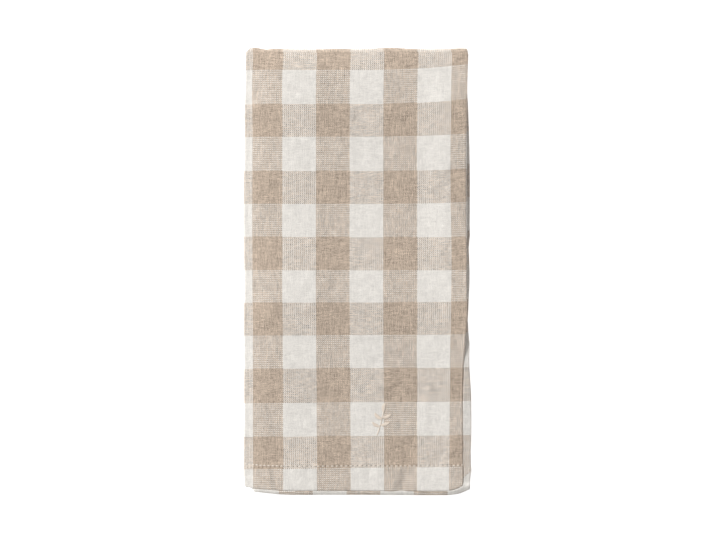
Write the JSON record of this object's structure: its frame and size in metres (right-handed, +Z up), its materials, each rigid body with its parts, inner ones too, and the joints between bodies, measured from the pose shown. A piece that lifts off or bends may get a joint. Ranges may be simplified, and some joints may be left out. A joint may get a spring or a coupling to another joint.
{
  "type": "folded cloth napkin",
  "caption": "Hemmed square cloth napkin in a woven gingham check, folded flat into a long narrow rectangle.",
  "frame": {"origin": "middle of the underside, under the centre of the folded outline", "axes": "+Y runs along the length towards the folded top edge, +X across to the side where the free side hems show, +Z up out of the top layer"},
  "size_m": [0.1136, 0.2234, 0.0126],
  "materials": {
    "napkin_cloth": "matte yarn-dyed cotton in plain weave, beige and off-white gingham",
    "sewing_thread": "cream cotton thread with a soft sheen, for the hem stitching and the embroidered sprig"
  },
  "bodies": {
    "root": {"napkin": "napkin_cloth"}
  },
  "joints": []
}
